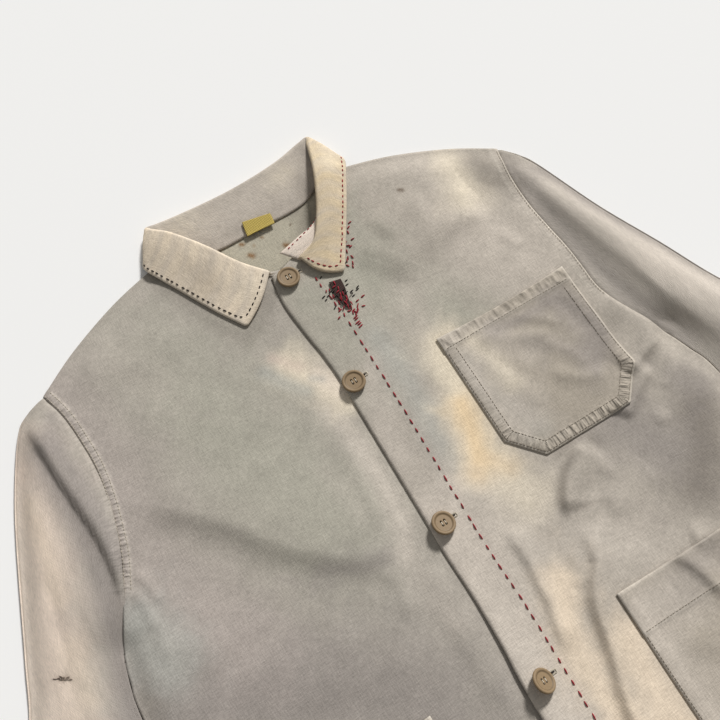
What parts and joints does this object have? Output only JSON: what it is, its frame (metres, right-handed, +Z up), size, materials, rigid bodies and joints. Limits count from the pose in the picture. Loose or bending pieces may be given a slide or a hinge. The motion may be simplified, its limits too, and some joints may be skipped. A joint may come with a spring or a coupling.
{
  "type": "patched work jacket, laid flat",
  "caption": "Boxy button-front cotton work jacket laid flat, front up, with a turn-down collar, patch pockets, drawn-down sleeves and a hand-darned mend below the collar.",
  "frame": {"origin": "middle of the whole outline, on the surface that the jacket lies on", "axes": "+Z up out of the front of the jacket, +Y from the hem towards the collar, +X to the viewer's right, which is the wearer's left"},
  "size_m": [1.0286, 0.7818, 0.021],
  "materials": {
    "faded_cotton_twill": "washed and sun-faded cotton twill, grey-khaki with cream and mauve patches, matt",
    "sun_bleached_collar_twill": "the same twill bleached to beige, matt",
    "urea_button": "tan moulded button, rubbed satin",
    "woven_label": "plain gold woven ribbon, slight sheen",
    "darning_cloth": "dark brown woven darn, matt",
    "sashiko_thread": "dark red and black cotton sewing thread, matt"
  },
  "bodies": {
    "root": {"back_panel": "faded_cotton_twill", "front_right_panel": "faded_cotton_twill", "front_left_panel": "faded_cotton_twill", "sleeve_right": "faded_cotton_twill", "sleeve_left": "faded_cotton_twill", "collar": "sun_bleached_collar_twill", "chest_pocket": "faded_cotton_twill", "pocket_left": "faded_cotton_twill", "pocket_right": "faded_cotton_twill", "button_1": "urea_button", "button_2": "urea_button", "button_3": "urea_button", "button_4": "urea_button", "button_5": "urea_button", "neck_label": "woven_label", "darn_patch": "darning_cloth"}
  },
  "joints": []
}
